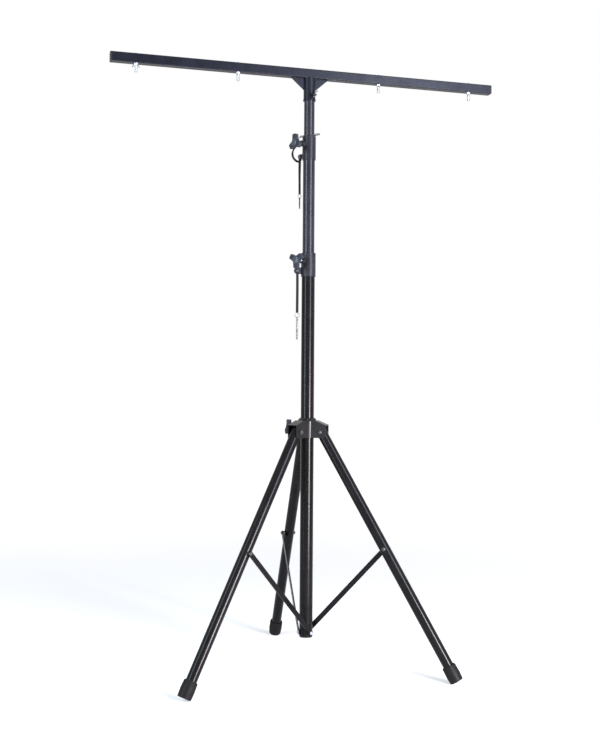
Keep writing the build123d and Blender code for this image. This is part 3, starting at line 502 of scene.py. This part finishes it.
def ribbon(name, line, width, wide_start, wide_end):
    """A flat woven strap along a line: its width turns from one direction to the other."""
    half, thin = width / 2, STRAP_THICKNESS / 2
    inset, low = half * 0.9, thin * 0.6
    section = [(-half, -low), (-inset, -thin), (inset, -thin), (half, -low),
               (half, low), (inset, thin), (-inset, thin), (-half, low)]
    points, faces, travelled, total = [], [], [0.0], 0.0
    for i in range(1, len(line)):
        total += (line[i] - line[i - 1]).length
        travelled.append(total)
    for i, at in enumerate(line):
        ahead = (line[min(i + 1, len(line) - 1)] - line[max(i - 1, 0)]).normalized()
        share = travelled[i] / total
        turned = min(1.0, max(0.0, (share - TWIST_START) / TWIST_SPAN))
        wide = wide_start.lerp(wide_end, turned * turned * (3 - 2 * turned))
        wide = (wide - ahead * wide.dot(ahead)).normalized()
        flat = ahead.cross(wide)
        points += [at + wide * u + flat * v for u, v in section]
    last = (len(line) - 1) * CORNERS
    for low in range(0, last, CORNERS):
        high = low + CORNERS
        for j in range(CORNERS):
            k = (j + 1) % CORNERS
            faces.append((low + j, low + k, high + k, high + j))
    faces.append(tuple(range(CORNERS)))
    faces.append(tuple(last + j for j in reversed(range(CORNERS))))
    piece = add_mesh(name, points, faces, strap_webbing, smooth=False)
    layer = piece.data.uv_layers.new(name="strap")
    for loop in piece.data.loops:
        row, column = divmod(loop.vertex_index, CORNERS)
        layer.data[loop.index].uv = (travelled[row], section[column][0])
    return outward(piece, merge=False), total


def ear_strap(name, ear, thickness, length):
    """A strap that hangs straight down from a collar's ear, with a slight bow and twist."""
    face = around(*ear) @ Matrix.Rotation(math.pi, 4, "Y")
    level = thickness / 2 + STRAP_THICKNESS / 2
    points = [face @ Vector((0, share * length - EAR_TO_STRAP_TOP, level + bow))
              for bow, share in STRAP_BOW]
    wide = (face.to_3x3() @ Vector((1, 0, 0))).normalized()
    turned = (wide + 0.25 * (face.to_3x3() @ UP)).normalized()
    return ribbon(name, smooth_line(points), STRAP_WIDTH, wide, turned) + (points[0],)


def add_straps():
    main, length, start = ear_strap(
        "main_strap_webbing", MAIN_EAR, MAIN_EAR_THICKNESS, MAIN_STRAP_LENGTH)
    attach(main, "mast")
    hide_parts("main_strap")
    mid, length, start = ear_strap(
        "mid_strap_webbing", MID_EAR, MID_EAR_THICKNESS, MID_STRAP_LENGTH)
    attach(mid, "mid_mast")
    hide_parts("mid_strap")
    ear = radial(*MID_EAR)
    line = smooth_line([ear @ Vector((side, up, out)) for out, side, up in TETHER_ROUTE])
    across = ear.to_3x3() @ Vector((1, 0, 0))
    outwards = ear.to_3x3() @ Vector((0.25, -0.6, 0.75))
    tether, length = ribbon("pin_tether_webbing", line, TETHER_WIDTH, across, outwards)
    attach(tether, "safety_pin")
    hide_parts("safety_pin_strap")


add_straps()


# ---- repeated details, made with Geometry Nodes ----
def new_builder(name, inputs):
    """A Geometry Nodes tree with named inputs, and its first and last nodes."""
    tree = bpy.data.node_groups.new(name, "GeometryNodeTree")
    tree.interface.new_socket(name="Geometry", in_out="INPUT", socket_type="NodeSocketGeometry")
    for label, kind, default in inputs:
        socket = tree.interface.new_socket(name=label, in_out="INPUT", socket_type=kind)
        if default is not None:
            socket.default_value = default
    tree.interface.new_socket(name="Geometry", in_out="OUTPUT", socket_type="NodeSocketGeometry")
    return tree, tree.nodes.new("NodeGroupInput"), tree.nodes.new("NodeGroupOutput")


def finish_builder(tree, entry, leave, shape):
    """Places the shape on every point, turned to the point's axis, and gives it its material."""
    place = tree.nodes.new("GeometryNodeInstanceOnPoints")
    real = tree.nodes.new("GeometryNodeRealizeInstances")
    paint = tree.nodes.new("GeometryNodeSetMaterial")
    tree.links.new(entry.outputs["Geometry"], place.inputs["Points"])
    tree.links.new(shape, place.inputs["Instance"])
    aim = tree.nodes.new("GeometryNodeInputNamedAttribute")
    aim.data_type = "FLOAT_VECTOR"
    aim.inputs["Name"].default_value = "aim"
    align = tree.nodes.new("FunctionNodeAlignRotationToVector")
    align.axis = "Z"
    tree.links.new(aim.outputs["Attribute"], align.inputs["Vector"])
    tree.links.new(align.outputs[0], place.inputs["Rotation"])
    tree.links.new(place.outputs["Instances"], real.inputs["Geometry"])
    tree.links.new(real.outputs["Geometry"], paint.inputs["Geometry"])
    tree.links.new(entry.outputs["Material"], paint.inputs["Material"])
    tree.links.new(paint.outputs["Geometry"], leave.inputs["Geometry"])
    return tree


def make_thread_builder():
    """A screw thread: a fine ridge wound round each point's own axis."""
    tree, entry, leave = new_builder("Screw Thread", (
        ("Radius", "NodeSocketFloat", 0.004), ("Length", "NodeSocketFloat", 0.02),
        ("Turns", "NodeSocketFloat", 16.0), ("Ridge", "NodeSocketFloat", 0.0004),
        ("Material", "NodeSocketMaterial", None)))
    coil = tree.nodes.new("GeometryNodeCurveSpiral")
    coil.inputs["Resolution"].default_value = 20
    tree.links.new(entry.outputs["Turns"], coil.inputs["Rotations"])
    tree.links.new(entry.outputs["Radius"], coil.inputs["Start Radius"])
    tree.links.new(entry.outputs["Radius"], coil.inputs["End Radius"])
    tree.links.new(entry.outputs["Length"], coil.inputs["Height"])
    section = tree.nodes.new("GeometryNodeCurvePrimitiveCircle")
    section.inputs["Resolution"].default_value = 4
    tree.links.new(entry.outputs["Ridge"], section.inputs["Radius"])
    wound = tree.nodes.new("GeometryNodeCurveToMesh")
    wound.inputs["Fill Caps"].default_value = True
    tree.links.new(coil.outputs["Curve"], wound.inputs["Curve"])
    tree.links.new(section.outputs["Curve"], wound.inputs["Profile Curve"])
    return finish_builder(tree, entry, leave, wound.outputs["Mesh"])


def make_ring_builder():
    """A moulded or turned ring round each point's own axis."""
    tree, entry, leave = new_builder("Raised Ring", (
        ("Radius", "NodeSocketFloat", 0.02), ("Bead", "NodeSocketFloat", 0.0007),
        ("Material", "NodeSocketMaterial", None)))
    loop = tree.nodes.new("GeometryNodeCurvePrimitiveCircle")
    loop.inputs["Resolution"].default_value = 64
    tree.links.new(entry.outputs["Radius"], loop.inputs["Radius"])
    section = tree.nodes.new("GeometryNodeCurvePrimitiveCircle")
    section.inputs["Resolution"].default_value = 8
    tree.links.new(entry.outputs["Bead"], section.inputs["Radius"])
    swept = tree.nodes.new("GeometryNodeCurveToMesh")
    tree.links.new(loop.outputs["Curve"], swept.inputs["Curve"])
    tree.links.new(section.outputs["Curve"], swept.inputs["Profile Curve"])
    return finish_builder(tree, entry, leave, swept.outputs["Mesh"])


def make_drop_builder():
    """Small overlapping drops, for a weld seam."""
    tree, entry, leave = new_builder("Bead Row", (
        ("Size", "NodeSocketVector", (0.001, 0.001, 0.001)),
        ("Material", "NodeSocketMaterial", None)))
    ball = tree.nodes.new("GeometryNodeMeshIcoSphere")
    ball.inputs["Radius"].default_value = 1.0
    ball.inputs["Subdivisions"].default_value = 2
    sized = tree.nodes.new("GeometryNodeTransform")
    tree.links.new(ball.outputs["Mesh"], sized.inputs["Geometry"])
    tree.links.new(entry.outputs["Size"], sized.inputs["Scale"])
    return finish_builder(tree, entry, leave, sized.outputs["Geometry"])


thread_builder = make_thread_builder()
ring_builder = make_ring_builder()
drop_builder = make_drop_builder()


def grow(name, builder, places, body, slot_name, **values):
    """Runs a builder on a list of (point, axis) and keeps the result as one plain mesh."""
    seed = bpy.data.meshes.new(name + "_points")
    seed.from_pydata([tuple(at) for at, aim in places], [], [])
    aims = seed.attributes.new("aim", "FLOAT_VECTOR", "POINT")
    for i, (at, aim) in enumerate(places):
        aims.data[i].vector = aim
    holder = bpy.data.objects.new(name + "_points", seed)
    scene.collection.objects.link(holder)
    modifier = holder.modifiers.new("builder", "NODES")
    modifier.node_group = builder
    for item in builder.interface.items_tree:
        if item.in_out == "INPUT" and item.name in values:
            modifier[item.identifier] = values[item.name]
    graph = bpy.context.evaluated_depsgraph_get()
    data = bpy.data.meshes.new_from_object(holder.evaluated_get(graph))
    data.name = name
    bpy.data.objects.remove(holder)
    if not data.materials:
        data.materials.append(values["Material"])
    data.polygons.foreach_set("use_smooth", [True] * len(data.polygons))
    piece = bpy.data.objects.new(name, data)
    scene.collection.objects.link(piece)
    return settle(outward(piece), body)


# Azimuths in degrees, everything else in metres, as the frame has them.
LEG_AZIMUTHS = {"left": 207.6, "right": 327.6, "rear": 87.6}
LEG_LEAN = 30
LEG_PIVOT_REACH, LEG_PIVOT_HEIGHT = 0.045, 0.7247
FOOT_RIBS, FOOT_RIB_STEP = 5, 0.0075
FOOT_RIB_START, FOOT_RIB_RADIUS, FOOT_RIB_BEAD = 0.7815, 0.0206, 0.0007
HANGERS = (-0.525, -0.222, 0.222, 0.525)
HANGER_THREAD_LOW, HANGER_THREAD_LENGTH, HANGER_THREAD_RADIUS = 1.7736, 0.0100, 0.0039
THREAD_RIDGE = 0.0004
# Each knob's label, body, azimuth, height and where its stud leaves the collar.
CLAMPS = (
    ("mid", "mid_knob", 202.5, 1.597, 0.0320),
    ("main", "main_knob", 213.5, 1.242, 0.0338),
    ("hub", "hub_knob", 147.6, 0.736, 0.0374),
)
STUD_THREAD_LENGTH, STUD_THREAD_RADIUS = 0.0078, 0.0040
KNOB_CAP_OUT = 0.0262
KNOB_CAP_PROFILE = (
    (0.0, 0.0034), (0.004, 0.0033), (0.0078, 0.0026), (0.0105, 0.0013),
    (0.0119, 0.0002), (0.0121, -0.0006), (0.0119, -0.0010), (0.0, -0.0010),
)
NECK_RING_OUT, NECK_RING_RADIUS, NECK_RING_BEAD = 0.0157, 0.0079, 0.0005
WELD_STEP = 0.0021
WELD_OFF_PLATE = 0.0018
WELD_DROP = (0.0006, 0.0006, 0.0014)
GUSSET_TOP_START, GUSSET_TOP_HEIGHT, GUSSET_TOP_DROPS = 0.0195, 1.7976, 19
GUSSET_SIDE_REACH, GUSSET_SIDE_TOP, GUSSET_SIDE_DROPS = 0.0183, 1.7955, 16
SLEEVE_WELD_RADIUS, SLEEVE_WELD_HEIGHT, SLEEVE_WELD_DROPS = 0.0183, 1.7974, 44
# The sleeve's weld stops where the sleeve leaves the underside of the bar.
BAR_HALF_DEPTH_WELDED = 0.0133


def add_threads_and_knobs():
    stems = [(Vector((x, 0, HANGER_THREAD_LOW)), UP) for x in HANGERS]
    grow("hanger_threads", thread_builder, stems, "t_bar", "zinc_steel",
         Radius=HANGER_THREAD_RADIUS, Length=HANGER_THREAD_LENGTH, Turns=8.0, Ridge=THREAD_RIDGE,
         Material=zinc)
    for label, body, azimuth, z, start in CLAMPS:
        axis = out_of(azimuth)
        base = axis * start + UP * z
        grow(label + "_stud_thread", thread_builder, [(base, axis)], body, "zinc_steel",
             Radius=STUD_THREAD_RADIUS, Length=STUD_THREAD_LENGTH, Turns=6.2, Ridge=THREAD_RIDGE,
             Material=zinc)
        place = radial(azimuth, z, start + KNOB_CAP_OUT)
        cap = lathe(label + "_knob_cap", KNOB_CAP_PROFILE, place, cap_plastic)
        settle(cap, body)
        ring_at = axis * (start + NECK_RING_OUT) + UP * z
        grow(label + "_knob_neck_ring", ring_builder, [(ring_at, axis)], body, "knob_plastic",
             Radius=NECK_RING_RADIUS, Bead=NECK_RING_BEAD, Material=knob_plastic)


def add_foot_ribs():
    lean = math.radians(LEG_LEAN)
    for label, azimuth in LEG_AZIMUTHS.items():
        down = out_of(azimuth) * math.sin(lean) - UP * math.cos(lean)
        pivot = out_of(azimuth) * LEG_PIVOT_REACH + UP * LEG_PIVOT_HEIGHT
        rows = [(pivot + down * (FOOT_RIB_START + FOOT_RIB_STEP * i), down)
                for i in range(FOOT_RIBS)]
        grow(f"foot_ribs_{label}", ring_builder, rows, f"leg_{label}", "rubber",
             Radius=FOOT_RIB_RADIUS, Bead=FOOT_RIB_BEAD, Material=foot_rubber)


def add_weld_seams():
    """Where the gussets meet the bar and the sleeve, and round the sleeve under the bar."""
    seam = []
    for side in (-1, 1):
        for face in (-1, 1):
            y = face * WELD_OFF_PLATE
            for i in range(GUSSET_TOP_DROPS):
                x = side * (GUSSET_TOP_START + WELD_STEP * i)
                seam.append((Vector((x, y, GUSSET_TOP_HEIGHT)), Vector((1, 0, 0))))
            for i in range(GUSSET_SIDE_DROPS):
                z = GUSSET_SIDE_TOP - WELD_STEP * i
                seam.append((Vector((side * GUSSET_SIDE_REACH, y, z)), UP))
    for i in range(SLEEVE_WELD_DROPS):
        out = out_of(360 * i / SLEEVE_WELD_DROPS)
        at = out * SLEEVE_WELD_RADIUS + UP * SLEEVE_WELD_HEIGHT
        if abs(at.y) < BAR_HALF_DEPTH_WELDED:
            seam.append((at, UP.cross(out)))
    grow("t_bar_weld_seams", drop_builder, seam, "t_bar", "bar_powder_coat", Size=WELD_DROP,
         Material=weld_metal)


add_threads_and_knobs()
add_foot_ribs()
add_weld_seams()


# ---- floor, backdrop and light ----
FLOOR_HALF_SIZE = 14.0
# The floor glows less near the stand, so that the shadow shows, and more towards the horizon.
SHADOW_REACH, HORIZON_REACH = 0.8, 4.5
GLOW_NEAR, GLOW_FAR = 0.36, 0.76
BACKDROP_SEEN, BACKDROP_LIGHT = 1.0, 0.3
# Name, azimuth in degrees, distance, height, width, tall, power in watts and colour.
SOFTBOXES = (
    ("left_softbox", -66, 2.8, 1.35, 0.55, 2.7, 96, (0.72, 0.88, 1.0)),
    ("right_softbox", 27, 2.9, 1.55, 0.80, 3.0, 165, (0.72, 0.78, 1.0)),
    ("low_warm_softbox", 25, 2.4, 0.45, 0.38, 1.0, 105, (1.0, 0.88, 0.86)),
)


def strength_by_ray(tree, seen, unseen):
    """One strength for rays that show the backdrop, another for the light that it gives."""
    path = tree.nodes.new("ShaderNodeLightPath")
    shown = math_node(tree, "MAXIMUM", path.outputs["Is Camera Ray"], path.outputs["Is Glossy Ray"])
    shown = math_node(tree, "MAXIMUM", shown, path.outputs["Is Transmission Ray"])
    return math_node(tree, "ADD", math_node(tree, "MULTIPLY", shown, seen - unseen), unseen)


def add_floor():
    far = FLOOR_HALF_SIZE
    points = [(-far, -far, 0), (far, -far, 0), (far, far, 0), (-far, far, 0)]
    made, tree, shader = blank_material("studio_floor")
    where = tree.nodes.new("ShaderNodeTexCoord").outputs["Object"]
    cloud = noise_node(tree, where, 3.0, 3.0, 0.5)
    tone = mix_colours(tree, cloud, (0.84, 0.84, 0.84), (0.87, 0.87, 0.87))
    tree.links.new(tone, shader.inputs["Base Color"])
    shader.inputs["Roughness"].default_value = 0.9
    shader.inputs["Specular IOR Level"].default_value = 0.1
    shader.inputs["Emission Color"].default_value = (1, 1, 1, 1)
    reach = tree.nodes.new("ShaderNodeVectorMath")
    reach.operation = "LENGTH"
    tree.links.new(where, reach.inputs[0])
    glow = ramp_node(tree, reach.outputs["Value"], SHADOW_REACH, HORIZON_REACH, GLOW_NEAR, GLOW_FAR)
    shown = math_node(tree, "MULTIPLY", strength_by_ray(tree, 1.0, 0.0), glow)
    tree.links.new(shown, shader.inputs["Emission Strength"])
    add_mesh("studio_floor", points, [(0, 1, 2, 3)], made, smooth=False)


def add_world():
    world = bpy.data.worlds.new("studio")
    world.use_nodes = True
    scene.world = world
    tree = world.node_tree
    background = tree.nodes["Background"]
    background.inputs["Color"].default_value = (1, 1, 1, 1)
    strength = strength_by_ray(tree, BACKDROP_SEEN, BACKDROP_LIGHT)
    tree.links.new(strength, background.inputs["Strength"])


def add_softbox(name, azimuth, distance, height, width, tall, power, colour):
    """An area light beside the stand, level and aimed at the mast."""
    data = bpy.data.lights.new(name, "AREA")
    data.shape = "RECTANGLE"
    data.size = width
    data.size_y = tall
    data.energy = power
    data.color = colour
    lamp = bpy.data.objects.new(name, data)
    a = math.radians(azimuth)
    spot = Vector((distance * math.sin(a), -distance * math.cos(a), height))
    aim = Vector((0, 0, height)) - spot
    turn = aim.to_track_quat("-Z", "Y").to_matrix().to_4x4()
    lamp.matrix_world = Matrix.Translation(spot) @ turn
    scene.collection.objects.link(lamp)


add_floor()
add_world()
for softbox in SOFTBOXES:
    add_softbox(*softbox)
